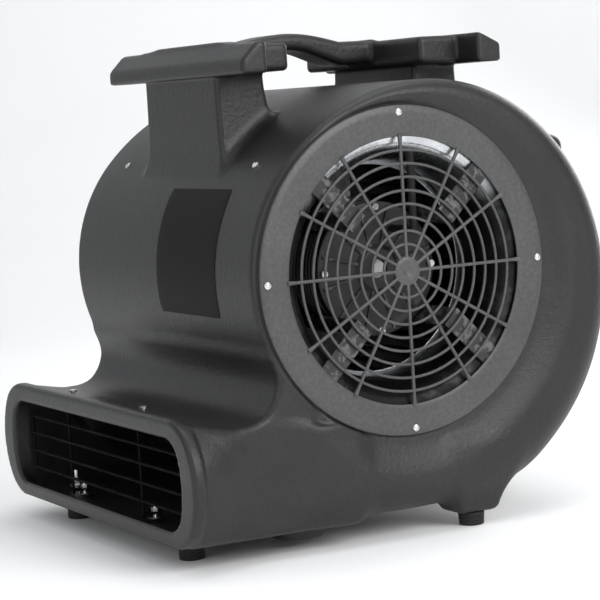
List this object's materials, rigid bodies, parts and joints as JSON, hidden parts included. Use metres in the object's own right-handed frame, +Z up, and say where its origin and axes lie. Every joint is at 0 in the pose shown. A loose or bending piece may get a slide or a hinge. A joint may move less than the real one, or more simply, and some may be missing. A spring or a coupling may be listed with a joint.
{
  "type": "centrifugal air mover",
  "caption": "Floor-standing centrifugal air mover with a moulded scroll housing, side inlet grilles, a low front outlet and a carrying handle on a stacking deck.",
  "frame": {"origin": "bottom centre of the whole machine's box, on the floor between the feet", "axes": "+Z up, -Y towards the air outlet, X along the fan axis, with the fully visible inlet grille on +X"},
  "size_m": [0.5, 0.52, 0.521],
  "materials": {
    "charcoal_shell": "textured satin rotomoulded polyethylene",
    "grey_grille": "satin moulded nylon",
    "zinc_fastener": "bright zinc plated",
    "galvanised_sheet": "galvanised sheet",
    "machined_steel": "turned steel",
    "lamination_steel": "stacked laminations",
    "copper_winding": "varnished copper wire",
    "black_motor_paint": "semi-gloss black enamel",
    "cast_bell": "die-cast aluminium",
    "capacitor_case": "plastic can",
    "black_wire_coat": "black dipped steel wire",
    "black_rubber": "moulded rubber",
    "black_plastic": "fine-grained black plastic",
    "red_button": "gloss red plastic",
    "label_film": "blank vinyl label"
  },
  "bodies": {
    "housing": {"housing_shell": "charcoal_shell", "handle_deck": "charcoal_shell", "grille_right": "grey_grille", "grille_left": "grey_grille", "grille_screws_right": "zinc_fastener", "grille_screws_left": "zinc_fastener", "inlet_cone_right": "galvanised_sheet", "inlet_cone_left": "galvanised_sheet", "motor_stator": "lamination_steel", "motor_windings": "copper_winding", "motor_can": "black_motor_paint", "motor_front_bell": "cast_bell", "motor_rear_bell": "cast_bell", "motor_bearing_front": "machined_steel", "motor_bearing_rear": "machined_steel", "motor_through_bolts": "zinc_fastener", "motor_band": "galvanised_sheet", "motor_mount_arms": "galvanised_sheet", "mount_bolts": "zinc_fastener", "run_capacitor": "capacitor_case", "capacitor_clamp": "galvanised_sheet", "motor_lead": "black_rubber", "inner_brace": "galvanised_sheet", "brace_screws": "zinc_fastener", "outlet_guard": "black_wire_coat", "guard_screws": "zinc_fastener", "foot_front_right": "black_rubber", "foot_front_left": "black_rubber", "foot_rear_right": "black_rubber", "foot_rear_left": "black_rubber", "foot_bolts": "zinc_fastener", "foot_nuts": "zinc_fastener", "control_panel": "black_plastic", "panel_screws": "zinc_fastener", "speed_switch": "black_plastic", "reset_breaker": "black_plastic", "cord_gland": "black_plastic", "gland_nut": "black_plastic", "label_plate": "label_film"},
    "rotor": {"motor_shaft": "machined_steel", "motor_rotor": "lamination_steel", "wheel_hub": "machined_steel", "hub_set_screw": "zinc_fastener", "wheel_center_plate": "galvanised_sheet", "wheel_blades_right": "galvanised_sheet", "wheel_blades_left": "galvanised_sheet", "wheel_end_ring_right": "galvanised_sheet", "wheel_end_ring_left": "galvanised_sheet"},
    "knob": {"speed_knob": "black_plastic", "switch_shaft": "machined_steel"},
    "button": {"reset_button": "red_button"}
  },
  "joints": [
    {"name": "rotor_spin", "type": "hinge", "parent": "housing", "child": "rotor", "pos_m": [0, 0.004, 0.272], "axis": [1, 0, 0], "continuous": true},
    {"name": "speed_knob_turn", "type": "hinge", "parent": "housing", "child": "knob", "pos_m": [-0.038, 0.243, 0.362], "axis": [0, 1, 0], "range_deg": [0, 135]},
    {"name": "reset_button_press", "type": "slide", "parent": "housing", "child": "button", "axis": [0, -1, 0], "range_m": [0, 0.002], "stiffness_N_per_m": 600}
  ]
}
